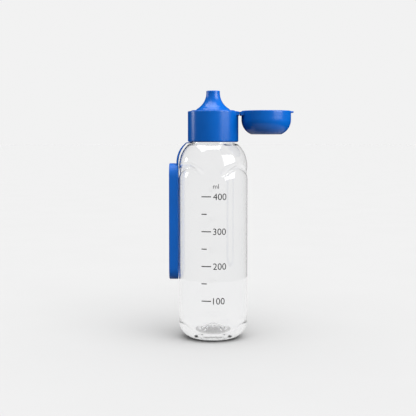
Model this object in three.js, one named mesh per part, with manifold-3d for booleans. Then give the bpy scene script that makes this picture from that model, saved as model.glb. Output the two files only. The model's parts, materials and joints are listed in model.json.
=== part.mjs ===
// A clear sports bottle with a screw cap, a drinking spout under a flip cover, and a
// silicone hand strap that hangs from a ring round the neck.
// Millimetres, +Z up. The cover opens towards +X and the hand strap hangs on the -X side.
// Pieces are drawn round the bottle's axis; the whole then moves along X, which puts the
// origin under the middle of everything, on the surface that the bottle stands on.
import * as THREE from 'three';
import { mergeVertices } from 'three/addons/utils/BufferGeometryUtils.js';
import Module from 'manifold-3d';

const wasm = await Module();
wasm.setup();

// ---- driving dimensions ----
const SIDES = 40; // facets round a large turned piece
const SMALL_SIDES = 24; // facets round a small turned piece
const GAP = 0.3; // clearance between a piece and the one it rests on
const EDGE = 0.4; // chamfer on a moulded edge

// bottle
const BODY_R = 32.5;
const WALL = 1;
const HEEL_R = 16; // rounding between the wall and the foot
const FOOT_IN_R = 13.2; // inner edge of the flat foot ring
const PUSH_UP = 9.5; // height of the hollow under the base
const PUSH_UP_POWER = 1.5; // how sharply it rises to its middle
const BASE_THICK = 4;
const CREASE_Z = 157.7; // mean height of the crease under the dome
const CREASE_DEEP = 1.81; // mean depth
const CREASE_DEEP_FOUR = 1.19; // how much deeper it is at its four crests
const CREASE_DEEP_TWO = 0.27; // how much shallower it is at the front and back
const CREASE_LIP_R = 13; // rounding of the wall into the crease
const CREASE_ABOVE = 5.5; // height over which it opens out to the dome
const CREASE_ROWS = [-9, -6, -3, 0, CREASE_ABOVE / 2]; // heights over its line of the wall's points
const CREASE_FOUR = 4.07; // height of the crease's four waves
const CREASE_TWO = 2.05; // how much deeper it runs at the front and back
const CREASE_REACH = 18; // distance over which the waves fade out
const DOME_ARC_R = 26.9;
const DOME_ARC_CENTRE_R = 5.4;
const DOME_ARC_CENTRE_Z = 163.9;
const DOME_ARC_END = 44; // degrees above level where the arc ends outside
const DOME_INNER_END = 50; // and inside
const DOME_EDGE_R = 22.4;
const SHOULDER_Z = 184.5; // where the dome meets the neck

// neck and screw thread
const NECK_R = 20;
const NECK_BORE_R = 17.6;
const NECK_TOP_Z = 209.6;
const BEAD_R = 21.5;
const BEAD_Z = 187.7;
const BEAD_FLAT = 0.8;
const BEAD_SLOPE = 1;
const PITCH = 4;
const THREAD_TURNS = 1.25;
const THREAD_Z = 193.5;
const THREAD_STEPS = 40;
const THREAD_TAPER = 4; // steps over which each end runs out
const THREAD_ROOT_HALF = 0.9; // half of the ridge's height at its root
const THREAD_CREST_HALF = 0.4;
const THREAD_HEIGHT = 1.3;
const THREAD_SUNK = 0.6; // how deep the ridge's root lies in the wall

// screw cap
const CAP_R = 23.9;
const CAP_BORE_R = 22.4;
const CAP_BOTTOM_Z = 186;
const CAP_SHOULDER_Z = 214.9;
const DECK_UNDER_Z = 211.9;
const DECK_SEAT_Z = 213.6;
const DECK_HOLE_R = 16.6;
const CAP_LIP = 1.1; // rounding of the lower edge
const CAP_THREAD_HEIGHT = 1.8;

// spout
const DISC_R = 20.6;
const DISC_TOP_Z = 215.8;
const SPOUT_TOP_Z = 234.3;
const SPOUT_TIP_R = 6.4;
const SPOUT_WALL = 2.2;
const SPOUT_FLARE_R = 17.5;
const SPOUT_FLARE_Z = 232.5; // height where the tip turns into the flare
const SPOUT_FOOT_R = 15.7; // where the flare meets the disc
const SPOUT_THROAT_R = 11; // inside radius where the flare opens over the valve
const SPOUT_PLUG_R = 16.2;
const SPOUT_PLUG_Z = 206.5;

// valve in the spout, and the ring that holds it
const VALVE_SEAT_R = 13.2;
const VALVE_SEAT_Z = 213.9;
const VALVE_DOME_R = 9.4;
const VALVE_RISE = 3;
const VALVE_HALFWAY_RISE = 2.4; // height of its dome halfway out
const VALVE_THICK = 1.1;
const VALVE_FLANGE = 1.2;
const SLIT_LENGTH = 8;
const RETAINER_WIDTH = 2.7;
const RETAINER_HEIGHT = 2.4;

// cover and its hinge
const COVER_R = 23.4;
const COVER_WALL = 1.5;
const COVER_RIM_Z = 215.4;
const COVER_FLAT_Z = 193.3;
const COVER_ROUND_R = 14.8;
const COVER_ROUND_Z = 207;
const TAB_REACH = 2.4; // how far the thumb tab stands out
const TAB_HALF = 7; // half of its width along Y
const TAB_THICK = 1.5;
const PLUG_R = 5.6;
const PLUG_PAD = 0.5;
const NUB_R = 2.3; // the plug's nub, which goes into the spout
const NUB_TIP_R = 1.5;
const NUB_HEIGHT = 2.2;
const HINGE_X = 25.1;
const HINGE_HALF = 10.5; // half of its width along Y
const HINGE_THICK = 3.6;
const HINGE_TOP_Z = 214.5;
const COVER_X = 2 * HINGE_X;

// hand strap
const RING_R = 22;
const RING_BORE_R = 20.4;
const RING_Z = 185.9;
const RING_HEIGHT = 1;
const RING_TAB_Z = 184.75; // underside of the tab that comes out below the cap
const TETHER_THICK = 1.7;
const TETHER_WIDTH = 12;
const TETHER_START_R = 24.8; // where the ring's tab ends and the loose tether begins
const TETHER_BEND = 4.7; // how gently it leaves the tab
const TETHER_DROP = 3.5; // how far it drops over that stretch
const TETHER_HANG = 10; // how gently it turns down to the loop
const LOOP_IN_X = -32.9;
const LOOP_OUT_X = -41.4;
const LOOP_TOP_Z = 165.9;
const LOOP_BOTTOM_Z = 55.7;
const LOOP_HALF = 12.3; // half of its width along Y
const LOOP_THICK = 3;

// middle of everything along X, from the hand loop's back to the thumb tab's tip
const MIDDLE_X = (COVER_X + COVER_R + TAB_REACH + LOOP_OUT_X) / 2;

// ---- materials ----
const clear = new THREE.MeshStandardMaterial({
  color: 0xeef2f4, roughness: 0.05, metalness: 0, transparent: true, opacity: 0.3,
});
const bluePlastic = new THREE.MeshStandardMaterial({ color: 0x0b5fc2, roughness: 0.3, metalness: 0 });
const blueSilicone = new THREE.MeshStandardMaterial({ color: 0x1560bd, roughness: 0.5, metalness: 0 });
const seal = new THREE.MeshStandardMaterial({ color: 0xe4e8ea, roughness: 0.45, metalness: 0 });

// ---- geometry helpers ----
const point = (r, z) => new THREE.Vector2(r, z);

const degrees = (cosine) => THREE.MathUtils.radToDeg(Math.acos(cosine));

// Points of an arc in a profile, from one angle to another, in degrees from +r.
function arc(centreR, centreZ, radius, from, to, steps) {
  const points = [];
  for (let i = 0; i <= steps; i += 1) {
    const angle = THREE.MathUtils.degToRad(from + ((to - from) * i) / steps);
    points.push(point(centreR + radius * Math.cos(angle), centreZ + radius * Math.sin(angle)));
  }
  return points;
}

// Six times the volume inside a closed mesh, negative when its faces point inwards.
function signedVolume(positions, index) {
  const [a, b, c] = [new THREE.Vector3(), new THREE.Vector3(), new THREE.Vector3()];
  let volume = 0;
  for (let i = 0; i < index.length; i += 3) {
    a.fromArray(positions, 3 * index[i]);
    b.fromArray(positions, 3 * index[i + 1]);
    c.fromArray(positions, 3 * index[i + 2]);
    volume += a.dot(b.cross(c));
  }
  return volume;
}

// One closed mesh with merged vertices, no empty triangles and its faces pointing out.
function closed(geometry) {
  const bare = new THREE.BufferGeometry();
  bare.setAttribute('position', geometry.getAttribute('position').clone());
  if (geometry.index) bare.setIndex(geometry.index.clone());
  const merged = mergeVertices(bare, 1e-4);
  const old = merged.index.array;
  const index = [];
  for (let i = 0; i < old.length; i += 3) {
    const [p, q, r] = [old[i], old[i + 1], old[i + 2]];
    if (p !== q && q !== r && r !== p) index.push(p, q, r);
  }
  if (signedVolume(merged.getAttribute('position').array, index) < 0) index.reverse();
  merged.setIndex(index);
  return merged;
}

function toSolid(geometry) {
  const merged = closed(geometry);
  const vertProperties = new Float32Array(merged.getAttribute('position').array);
  const triVerts = new Uint32Array(merged.index.array);
  return new wasm.Manifold(new wasm.Mesh({ numProp: 3, vertProperties, triVerts }));
}

function fromSolid(solid) {
  const { vertProperties, triVerts } = solid.getMesh();
  const geometry = new THREE.BufferGeometry();
  geometry.setAttribute('position', new THREE.BufferAttribute(vertProperties, 3));
  geometry.setIndex(new THREE.BufferAttribute(triVerts, 1));
  return geometry;
}

// A closed profile turned about Z.
function turned(profile, sides = SIDES) {
  const geometry = new THREE.LatheGeometry([...profile, profile[0]], sides);
  return closed(geometry.rotateX(Math.PI / 2));
}

// A plan outline raised from one height to another.
function raised(outline, lowZ, highZ) {
  const shape = new THREE.Shape(outline);
  const depth = highZ - lowZ;
  return closed(new THREE.ExtrudeGeometry(shape, { depth, bevelEnabled: false }).translate(0, 0, lowZ));
}

// A side outline in X and Z given its width along Y, centred on Y = 0.
function across(shape, width, curveSegments = 12) {
  const geometry = new THREE.ExtrudeGeometry(shape, { depth: width, bevelEnabled: false, curveSegments });
  return closed(geometry.rotateX(Math.PI / 2).translate(0, width / 2, 0));
}

// A screw ridge: a trapezium from the root radius to the crest, tapered at both ends.
function threadRidge(rootR, crestR, startZ) {
  const positions = [];
  const index = [];
  for (let i = 0; i <= THREAD_STEPS; i += 1) {
    const turn = (THREAD_TURNS * i) / THREAD_STEPS;
    const rise = Math.min(1, (Math.min(i, THREAD_STEPS - i) + 0.2) / THREAD_TAPER);
    const ridgeR = rootR + (crestR - rootR) * rise;
    const [cos, sin] = [Math.cos(2 * Math.PI * turn), Math.sin(2 * Math.PI * turn)];
    const z = startZ + PITCH * turn;
    const rootEdges = [z - THREAD_ROOT_HALF, z + THREAD_ROOT_HALF];
    const crestEdges = [z - THREAD_CREST_HALF, z + THREAD_CREST_HALF];
    positions.push(rootR * cos, rootR * sin, rootEdges[0], ridgeR * cos, ridgeR * sin, crestEdges[0]);
    positions.push(ridgeR * cos, ridgeR * sin, crestEdges[1], rootR * cos, rootR * sin, rootEdges[1]);
  }
  for (let i = 0; i < THREAD_STEPS; i += 1) {
    for (let k = 0; k < 4; k += 1) {
      const [a, b] = [4 * i + k, 4 * i + ((k + 1) % 4)];
      index.push(a, b, b + 4, a, b + 4, a + 4);
    }
  }
  const end = 4 * THREAD_STEPS;
  index.push(0, 2, 1, 0, 3, 2, end, end + 1, end + 2, end, end + 2, end + 3);
  const geometry = new THREE.BufferGeometry();
  geometry.setAttribute('position', new THREE.Float32BufferAttribute(positions, 3));
  geometry.setIndex(index);
  return geometry;
}

// ---- bottle ----
function bottleProfile() {
  const rows = CREASE_ROWS.map((above) => CREASE_Z + above);
  const pushUp = [1, 0.75, 0.5, 0.25].map((t) => {
    return point(FOOT_IN_R * (1 - t), PUSH_UP * Math.sin((t * Math.PI) / 2) ** PUSH_UP_POWER);
  });
  const outside = [
    ...pushUp,
    point(FOOT_IN_R, 0),
    ...arc(BODY_R - HEEL_R, HEEL_R, HEEL_R, -90, 0, 7),
    ...rows.map((z) => point(BODY_R, z)),
    ...arc(DOME_ARC_CENTRE_R, DOME_ARC_CENTRE_Z, DOME_ARC_R, 0, DOME_ARC_END, 5),
    point(DOME_EDGE_R, SHOULDER_Z - EDGE),
    point(NECK_R, SHOULDER_Z),
    point(NECK_R, BEAD_Z - BEAD_SLOPE / 2),
    point(BEAD_R, BEAD_Z),
    point(BEAD_R, BEAD_Z + BEAD_FLAT),
    point(NECK_R, BEAD_Z + BEAD_FLAT + BEAD_SLOPE),
    point(NECK_R, NECK_TOP_Z - EDGE),
    point(NECK_R - EDGE, NECK_TOP_Z),
  ];
  const innerHeel = HEEL_R - WALL;
  const floorR = BODY_R - HEEL_R;
  const inside = [
    point(NECK_BORE_R + EDGE, NECK_TOP_Z),
    point(NECK_BORE_R, NECK_TOP_Z - EDGE),
    point(NECK_BORE_R, SHOULDER_Z - WALL),
    ...arc(DOME_ARC_CENTRE_R, DOME_ARC_CENTRE_Z, DOME_ARC_R - WALL, DOME_INNER_END, 0, 4),
    ...rows.reverse().map((z) => point(BODY_R - WALL, z)),
    ...arc(floorR, BASE_THICK + innerHeel, innerHeel, 0, -90, 5),
    point(floorR / 2, BASE_THICK + PUSH_UP / 2),
    point(0, BASE_THICK + PUSH_UP),
  ];
  return [...outside, ...inside];
}

// Height of the crease over its mean, where angle 0 is the front.
function creaseHeight(angle) {
  return -CREASE_FOUR * Math.cos(4 * angle) - CREASE_TWO * Math.cos(2 * angle);
}

// Depth of the crease at a height above its line.
function creaseDepth(angle, above) {
  const four = CREASE_DEEP_FOUR * Math.cos(4 * angle);
  const deep = CREASE_DEEP - four - CREASE_DEEP_TWO * Math.cos(2 * angle);
  if (above > 0) {
    return deep * Math.max(0, 1 - above / CREASE_ABOVE);
  }
  const lip = Math.sqrt(CREASE_LIP_R ** 2 - (CREASE_LIP_R - deep) ** 2);
  const up = Math.max(0, above + lip);
  return CREASE_LIP_R - Math.sqrt(CREASE_LIP_R ** 2 - up ** 2);
}

// Presses the crease into the wall, and lifts and lowers it round the bottle.
function pressCrease(geometry) {
  const position = geometry.getAttribute('position');
  for (let i = 0; i < position.count; i += 1) {
    const [x, y, z] = [position.getX(i), position.getY(i), position.getZ(i)];
    const above = z - CREASE_Z;
    if (Math.abs(above) < CREASE_REACH) {
      const front = Math.atan2(x, -y);
      const shrink = 1 - creaseDepth(front, above) / Math.hypot(x, y);
      const fade = (1 - (above / CREASE_REACH) ** 2) ** 2;
      position.setXYZ(i, x * shrink, y * shrink, z + fade * creaseHeight(front));
    }
  }
  return geometry;
}

function bottleBody() {
  const shell = toSolid(pressCrease(turned(bottleProfile())));
  const ridge = threadRidge(NECK_R - THREAD_SUNK, NECK_R + THREAD_HEIGHT, THREAD_Z);
  return fromSolid(shell.add(toSolid(ridge)));
}

// ---- screw cap ----
function screwCap() {
  const body = toSolid(turned([
    point(CAP_BORE_R, CAP_BOTTOM_Z),
    ...arc(CAP_R - CAP_LIP, CAP_BOTTOM_Z + CAP_LIP, CAP_LIP, -90, 0, 2),
    point(CAP_R, CAP_SHOULDER_Z - EDGE),
    point(CAP_R - EDGE, CAP_SHOULDER_Z),
    point(DISC_R + GAP, CAP_SHOULDER_Z),
    point(DISC_R + GAP, DECK_SEAT_Z),
    point(DECK_HOLE_R, DECK_SEAT_Z),
    point(DECK_HOLE_R, DECK_UNDER_Z),
    point(CAP_BORE_R, DECK_UNDER_Z),
  ]));
  const ridge = threadRidge(CAP_BORE_R + THREAD_SUNK, CAP_BORE_R - CAP_THREAD_HEIGHT, THREAD_Z - PITCH / 2);
  return fromSolid(body.add(toSolid(ridge)));
}

function capGasket() {
  const [low, high] = [NECK_TOP_Z + GAP, DECK_UNDER_Z - GAP];
  return turned([
    point(NECK_BORE_R - EDGE, low),
    point(CAP_BORE_R - GAP, low),
    point(CAP_BORE_R - GAP, high),
    point(NECK_BORE_R - EDGE, high),
  ]);
}

// ---- spout, with its valve and the ring that holds the valve ----
function spout() {
  const flareCentreR = SPOUT_TIP_R + SPOUT_FLARE_R;
  const flareTurn = degrees((flareCentreR - SPOUT_FOOT_R) / SPOUT_FLARE_R);
  const throatTurn = degrees((flareCentreR - SPOUT_THROAT_R) / (SPOUT_FLARE_R + SPOUT_WALL));
  const boreR = SPOUT_TIP_R - SPOUT_WALL;
  return turned([
    point(VALVE_SEAT_R, SPOUT_PLUG_Z),
    point(SPOUT_PLUG_R, SPOUT_PLUG_Z),
    point(SPOUT_PLUG_R, DECK_SEAT_Z + GAP),
    point(DISC_R, DECK_SEAT_Z + GAP),
    point(DISC_R, DISC_TOP_Z - EDGE),
    point(DISC_R - EDGE, DISC_TOP_Z),
    point(SPOUT_FOOT_R + EDGE, DISC_TOP_Z),
    ...arc(flareCentreR, SPOUT_FLARE_Z, SPOUT_FLARE_R, 180 + flareTurn, 180, 8),
    point(SPOUT_TIP_R, SPOUT_TOP_Z - EDGE),
    point(SPOUT_TIP_R - EDGE, SPOUT_TOP_Z),
    point(boreR + EDGE, SPOUT_TOP_Z),
    point(boreR, SPOUT_TOP_Z - EDGE),
    ...arc(flareCentreR, SPOUT_FLARE_Z, SPOUT_FLARE_R + SPOUT_WALL, 180, 180 + throatTurn, 6),
    point(SPOUT_THROAT_R - EDGE, VALVE_SEAT_Z),
    point(VALVE_SEAT_R, VALVE_SEAT_Z),
  ]);
}

function spoutValve() {
  const flangeR = VALVE_SEAT_R - GAP;
  const top = VALVE_SEAT_Z - GAP;
  const half = VALVE_DOME_R / 2;
  const dome = toSolid(turned([
    point(0, top + VALVE_RISE - VALVE_THICK),
    point(half, top + VALVE_HALFWAY_RISE - VALVE_THICK),
    point(VALVE_DOME_R, top - VALVE_FLANGE),
    point(flangeR, top - VALVE_FLANGE),
    point(flangeR, top),
    point(VALVE_DOME_R + EDGE, top),
    point(half, top + VALVE_HALFWAY_RISE),
    point(0, top + VALVE_RISE),
  ], SMALL_SIDES));
  const slit = new THREE.BoxGeometry(SLIT_LENGTH, GAP, 4 * VALVE_RISE).translate(0, 0, top);
  const crossed = slit.clone().rotateZ(Math.PI / 2);
  return fromSolid(dome.subtract(toSolid(slit)).subtract(toSolid(crossed)));
}

function valveRetainer() {
  const top = VALVE_SEAT_Z - VALVE_FLANGE - 2 * GAP;
  const bottom = top - RETAINER_HEIGHT;
  const outR = VALVE_SEAT_R - GAP;
  return turned([
    point(outR - RETAINER_WIDTH, bottom),
    point(outR - EDGE, bottom),
    point(outR, bottom + EDGE),
    point(outR, top),
    point(outR - RETAINER_WIDTH, top),
  ], SMALL_SIDES);
}

// ---- cover ----
function coverShell() {
  const roundR = COVER_R - COVER_ROUND_R;
  const deep = COVER_ROUND_Z - COVER_FLAT_Z;
  const innerRoundR = COVER_ROUND_R - COVER_WALL;
  const outerTurn = degrees(deep / COVER_ROUND_R) - 90;
  const innerTurn = degrees((deep - COVER_WALL) / innerRoundR) - 90;
  const shell = toSolid(turned([
    point(0, COVER_FLAT_Z),
    ...arc(roundR, COVER_ROUND_Z, COVER_ROUND_R, outerTurn, 0, 7),
    point(COVER_R, COVER_RIM_Z - EDGE),
    point(COVER_R - EDGE, COVER_RIM_Z),
    point(COVER_R - COVER_WALL, COVER_RIM_Z),
    ...arc(roundR, COVER_ROUND_Z, innerRoundR, 0, innerTurn, 5),
    point(0, COVER_FLAT_Z + COVER_WALL),
  ]));
  const [rootX, tipX] = [COVER_R - COVER_WALL / 2, COVER_R + TAB_REACH];
  const tab = new THREE.Shape();
  tab.moveTo(rootX, -TAB_HALF);
  tab.quadraticCurveTo(tipX, -TAB_HALF / 2, tipX, 0);
  tab.quadraticCurveTo(tipX, TAB_HALF / 2, rootX, TAB_HALF);
  const tabTop = COVER_RIM_Z - EDGE;
  return fromSolid(shell.add(toSolid(raised(tab.getPoints(5), tabTop - TAB_THICK, tabTop))));
}

// A soft plug in the middle of the cover, which stops the spout when the cover is shut.
function coverPlug() {
  const seat = COVER_FLAT_Z + COVER_WALL + GAP;
  return turned([
    point(0, seat),
    point(PLUG_R, seat),
    point(PLUG_R, seat + PLUG_PAD),
    point(NUB_R, seat + PLUG_PAD),
    point(NUB_TIP_R, seat + NUB_HEIGHT),
    point(0, seat + NUB_HEIGHT),
  ], SMALL_SIDES);
}

// Half of the hinge strip, from the wall of a round piece to the hinge line.
function hingeHalf(wallR) {
  const start = wallR + GAP;
  const edge = HINGE_X - GAP / 2;
  const outline = [new THREE.Vector2(edge, -HINGE_HALF), new THREE.Vector2(edge, HINGE_HALF)];
  const steps = 10;
  for (let i = 0; i <= steps; i += 1) {
    const y = HINGE_HALF - (2 * HINGE_HALF * i) / steps;
    outline.push(new THREE.Vector2(Math.sqrt(start ** 2 - y ** 2), y));
  }
  return raised(outline, HINGE_TOP_Z - HINGE_THICK, HINGE_TOP_Z);
}

// ---- hand strap ----
function neckRing() {
  const top = RING_Z + RING_HEIGHT;
  const ring = toSolid(turned([
    point(RING_BORE_R, RING_Z),
    point(RING_R, RING_Z),
    point(RING_R, top),
    point(RING_BORE_R, top),
  ]));
  const [rootX, inX, outX] = [-RING_BORE_R - EDGE, -RING_R + EDGE, -TETHER_START_R];
  const half = TETHER_WIDTH / 2;
  const block = (fromX, toX, low, high) => {
    const corners = [[fromX, -half], [fromX, half], [toX, half], [toX, -half]];
    return toSolid(raised(corners.map(([x, y]) => new THREE.Vector2(x, y)), low, high));
  };
  const root = block(rootX, inX, RING_TAB_Z, RING_Z + RING_HEIGHT / 2);
  const tab = block(rootX, outX, RING_TAB_Z, CAP_BOTTOM_Z - GAP);
  return fromSolid(ring.add(root).add(tab));
}

// The thin tether bends down over the dome, from the ring's tab to the top of the loop.
function tether() {
  const startX = -(TETHER_START_R + GAP);
  const startZ = CAP_BOTTOM_Z - GAP;
  const outX = LOOP_IN_X - TETHER_THICK;
  const endZ = LOOP_TOP_Z + GAP;
  const [bendX, bendZ] = [startX - TETHER_BEND, startZ - TETHER_DROP];
  const shape = new THREE.Shape();
  shape.moveTo(startX, startZ);
  shape.bezierCurveTo(bendX, bendZ, outX, endZ + TETHER_HANG, outX, endZ);
  shape.lineTo(LOOP_IN_X, endZ);
  shape.bezierCurveTo(LOOP_IN_X, endZ + TETHER_HANG - 1, bendX + 1, bendZ - 1, startX, RING_TAB_Z);
  return across(shape, TETHER_WIDTH, 10);
}

// The hand loop: a flat band bent into a long loop that lies along the bottle.
function handLoop() {
  const outer = new THREE.Shape();
  const inner = new THREE.Path();
  const [low, high] = [LOOP_BOTTOM_Z + LOOP_HALF, LOOP_TOP_Z - LOOP_HALF];
  outer.absarc(0, high, LOOP_HALF, 0, Math.PI, false);
  outer.absarc(0, low, LOOP_HALF, Math.PI, 2 * Math.PI, false);
  inner.absarc(0, high, LOOP_HALF - LOOP_THICK, 0, Math.PI, false);
  inner.absarc(0, low, LOOP_HALF - LOOP_THICK, Math.PI, 2 * Math.PI, false);
  outer.holes.push(inner);
  const width = LOOP_IN_X - LOOP_OUT_X;
  const band = new THREE.ExtrudeGeometry(outer, { depth: width, bevelEnabled: false, curveSegments: 18 });
  band.rotateX(Math.PI / 2);
  band.rotateZ(Math.PI / 2);
  return closed(band.translate(LOOP_OUT_X, 0, 0));
}

// ---- assembly ----
function piece(name, geometry, material) {
  const mesh = new THREE.Mesh(geometry, material);
  mesh.name = name;
  return mesh;
}

const cap = new THREE.Group();
cap.add(piece('screw_cap', screwCap(), bluePlastic));
cap.add(piece('spout', spout(), bluePlastic));
cap.add(piece('spout_valve', spoutValve(), seal));
cap.add(piece('valve_retainer', valveRetainer(), bluePlastic));
cap.add(piece('hinge_strip_cap_half', hingeHalf(CAP_R), bluePlastic));

const cover = new THREE.Group();
cover.position.x = COVER_X;
cover.add(piece('flip_cover', coverShell(), bluePlastic));
cover.add(piece('cover_plug', coverPlug(), seal));
const coverHinge = piece('hinge_strip_cover_half', hingeHalf(COVER_R), bluePlastic);
coverHinge.rotation.z = Math.PI;
cover.add(coverHinge);

const strap = new THREE.Group();
strap.add(piece('strap_neck_ring', neckRing(), blueSilicone));
strap.add(piece('strap_tether', tether(), blueSilicone));
strap.add(piece('strap_hand_loop', handLoop(), blueSilicone));

const bottle = new THREE.Group();
bottle.position.x = -MIDDLE_X;
bottle.add(piece('bottle_body', bottleBody(), clear));
bottle.add(piece('cap_gasket', capGasket(), seal));
bottle.add(cap, cover, strap);

export default bottle;
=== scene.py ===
"""Looks of a clear sports bottle with a screw cap, a spout under a flip cover and a hand strap.

Lengths are in metres. The frame is the CAD model's: +Z up, the open cover towards +X, the
hand strap on the -X side and the front of the bottle towards -Y. Pieces are drawn round the
bottle's own axis, so x counts from there, and as_object moves each one to its place.
"""
import json
import math

import bmesh
import bpy
from mathutils import Matrix, Vector


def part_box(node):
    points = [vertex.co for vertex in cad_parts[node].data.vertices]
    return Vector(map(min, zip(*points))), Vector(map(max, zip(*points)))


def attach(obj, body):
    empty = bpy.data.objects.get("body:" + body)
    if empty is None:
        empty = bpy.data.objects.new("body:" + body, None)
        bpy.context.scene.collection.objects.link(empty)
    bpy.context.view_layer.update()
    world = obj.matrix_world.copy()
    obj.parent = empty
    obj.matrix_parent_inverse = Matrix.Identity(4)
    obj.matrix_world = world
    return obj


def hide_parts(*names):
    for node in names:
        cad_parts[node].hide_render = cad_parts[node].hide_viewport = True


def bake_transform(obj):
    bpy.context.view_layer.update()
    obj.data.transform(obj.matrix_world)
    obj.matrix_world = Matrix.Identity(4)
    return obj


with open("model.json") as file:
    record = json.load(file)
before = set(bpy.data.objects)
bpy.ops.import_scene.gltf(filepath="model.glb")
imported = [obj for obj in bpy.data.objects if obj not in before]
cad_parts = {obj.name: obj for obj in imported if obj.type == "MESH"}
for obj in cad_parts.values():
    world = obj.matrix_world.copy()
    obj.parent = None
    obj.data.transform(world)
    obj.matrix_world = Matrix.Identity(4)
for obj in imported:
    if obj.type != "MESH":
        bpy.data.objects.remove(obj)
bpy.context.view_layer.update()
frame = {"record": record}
MM = 0.001

# ---- sizes read from the frame ----
AXIS = Vector((sum(corner.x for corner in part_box("bottle_body")) / 2, 0, 0))


def node_box(name):
    """A CAD node's lowest and highest corners, with x counted from the bottle's axis."""
    low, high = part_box(name)
    return low - AXIS, high - AXIS


BODY = node_box("bottle_body")
CAP = node_box("screw_cap")
SPOUT = node_box("spout")
COVER = node_box("flip_cover")
RING = node_box("strap_neck_ring")
TETHER = node_box("strap_tether")
LOOP = node_box("strap_hand_loop")
GASKET = node_box("cap_gasket")
VALVE = node_box("spout_valve")
RETAINER = node_box("valve_retainer")
PLUG = node_box("cover_plug")
STRIP = node_box("hinge_strip_cap_half")
HINGE = next(j for j in frame["record"]["behaviour"]["joints"] if j["name"] == "cover_flip")
HINGE_X = HINGE["pos_m"][0] - AXIS.x

BODY_R = BODY[1].x
NECK_TOP = BODY[1].z
CAP_R = CAP[1].x
SPOUT_TOP = SPOUT[1].z
COVER_X = 2 * HINGE_X
COVER_R = COVER[1].y

# ---- the bottle's own shape ----
WALL = 1 * MM
HEEL_R = 16 * MM
FOOT_IN_R = 13.2 * MM
PUSH_UP = 9.5 * MM
PUSH_UP_POWER = 1.5
BASE_THICK = 4 * MM
CREASE_Z = 157.7 * MM
CREASE_DEEP = 1.81 * MM  # mean depth, which varies round the bottle by the next two
CREASE_DEEP_FOUR = -1.19 * MM
CREASE_DEEP_TWO = -0.27 * MM
CREASE_LIP_R = 13 * MM
CREASE_ABOVE = 5.5 * MM  # from the crease up to the full width of the dome
CREASE_SOFT = 0.45 * MM
CREASE_FOUR = 4.07 * MM  # rise of the crease's line, four times and twice round the bottle
CREASE_TWO = 2.05 * MM
CREASE_REACH = 18 * MM
WALL_FINE = 16 * MM  # the wall is divided finely from this far below the crease
DOME_R = 26.9 * MM
DOME_CENTRE_R = 5.4 * MM
DOME_CENTRE_Z = 163.9 * MM
DOME_END = 46  # degrees round the dome's arc
SHOULDER_Z = 184.5 * MM
NECK_R = 20 * MM
NECK_BORE_R = 17.6 * MM
PITCH = 4 * MM
THREAD_TURNS = 1.25
THREAD_Z = 193.5 * MM
THREAD_HIGH = 1.3 * MM
THREAD_HALF = 0.95 * MM  # half of a ridge's width
THREAD_FLANK = 0.55 * MM
THREAD_RUN_IN = 0.1  # turns over which a ridge's ends fade
THREAD_FROM_Z = 190 * MM  # all of the thread is above this

# ---- fineness ----
FINE_SIDES = 220
SIDES = 128
PLUG_SIDES = 64
SIDE_SHARE = 0.45  # the most of a side that one rounded corner may take
ON_AXIS = 1e-7  # a smaller radius counts as a point on the axis


# ---- outlines ----
def smooth(t):
    """From 0 to 1 with a soft start and end, flat outside that range."""
    t = min(1.0, max(0.0, t))
    return t * t * (3 - 2 * t)


def arc(centre_r, centre_z, radius, start, end, steps):
    """Points of an arc in an outline, from one angle to another, in degrees from +r."""
    points = []
    for i in range(steps + 1):
        angle = math.radians(start + (end - start) * i / steps)
        points.append((centre_r + radius * math.cos(angle), centre_z + radius * math.sin(angle)))
    return points


def rounded(corners, steps=5):
    """A closed outline from (r, z, radius) corners, each one rounded to its radius."""
    outline = []
    count = len(corners)
    for i, (r, z, radius) in enumerate(corners):
        here = Vector((r, z))
        if radius <= 0:
            outline.append((r, z))
            continue
        back = Vector(corners[i - 1][:2]) - here
        ahead = Vector(corners[(i + 1) % count][:2]) - here
        half = back.angle(ahead) / 2
        reach = min(radius / math.tan(half), SIDE_SHARE * back.length, SIDE_SHARE * ahead.length)
        radius = reach * math.tan(half)
        start = here + back.normalized() * reach
        end = here + ahead.normalized() * reach
        inward = (back.normalized() + ahead.normalized()).normalized()
        centre = here + inward * (radius / math.sin(half))
        first, last = start - centre, end - centre
        turn = first.angle_signed(last)
        for k in range(steps + 1):
            angle = -turn * k / steps
            cos, sin = math.cos(angle), math.sin(angle)
            spot = centre + Vector((first.x * cos - first.y * sin, first.x * sin + first.y * cos))
            outline.append((spot.x, spot.y))
    return outline


def spaced(outline, longest, closed=True):
    """The same outline with long straight stretches divided, so that shading stays even."""
    points = []
    pairs = zip(outline, outline[1:] + (outline[:1] if closed else []))
    for (r0, z0), (r1, z1) in pairs:
        pieces = max(1, math.ceil(math.hypot(r1 - r0, z1 - z0) / longest))
        for k in range(pieces):
            t = k / pieces
            points.append((r0 + (r1 - r0) * t, z0 + (z1 - z0) * t))
    if not closed:
        points.append(outline[-1])
    return points


# ---- meshes ----
def as_object(name, mesh_data, sharp=35):
    mesh = bpy.data.meshes.new(name)
    mesh_data.normal_update()
    mesh_data.to_mesh(mesh)
    mesh_data.free()
    mesh.transform(Matrix.Translation(AXIS))
    mesh.polygons.foreach_set("use_smooth", [True] * len(mesh.polygons))
    mesh.set_sharp_from_angle(angle=math.radians(sharp))
    obj = bpy.data.objects.new(name, mesh)
    bpy.context.scene.collection.objects.link(obj)
    return obj


def face_out(bm):
    bmesh.ops.recalc_face_normals(bm, faces=bm.faces)


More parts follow.
